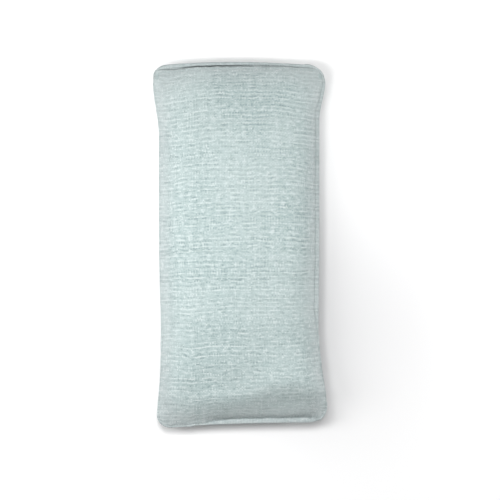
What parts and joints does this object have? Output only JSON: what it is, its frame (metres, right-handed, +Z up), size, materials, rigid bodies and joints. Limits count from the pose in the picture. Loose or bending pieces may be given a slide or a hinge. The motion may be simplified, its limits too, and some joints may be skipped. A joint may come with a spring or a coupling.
{
  "type": "eye pillow",
  "caption": "Soft rectangular linen eye pillow: a removable slip cover with an open, flap-closed head end over a muslin bag filled with flaxseed and lavender.",
  "frame": {"origin": "middle of the footprint, on the surface that the pillow lies on", "axes": "+Y along the length, towards the open end of the cover; +Z up out of the front of the pillow; +X across its width"},
  "size_m": [0.1072, 0.229, 0.026],
  "materials": {
    "linen": "matte",
    "sewing_thread": "satin",
    "muslin": "matte",
    "flaxseed": "satin",
    "lavender": "matte"
  },
  "bodies": {
    "cover": {"cover_front": "linen", "cover_back": "linen", "tuck_flap": "linen", "cover_seam_thread": "sewing_thread", "front_hem_stitches": "sewing_thread", "flap_stitches": "sewing_thread", "mouth_bartacks": "sewing_thread"},
    "insert": {"insert_front": "muslin", "insert_back": "muslin", "insert_seam_thread": "sewing_thread", "insert_closing_stitches": "sewing_thread", "flaxseed_fill": "flaxseed", "lavender_buds": "lavender"}
  },
  "joints": [
    {"name": "insert_slide", "type": "slide", "parent": "cover", "child": "insert", "axis": [0, 1, 0], "range_m": [0, 0.23], "deforming": ["insert_front", "insert_back", "insert_seam_thread", "insert_closing_stitches", "flaxseed_fill", "lavender_buds"]}
  ]
}
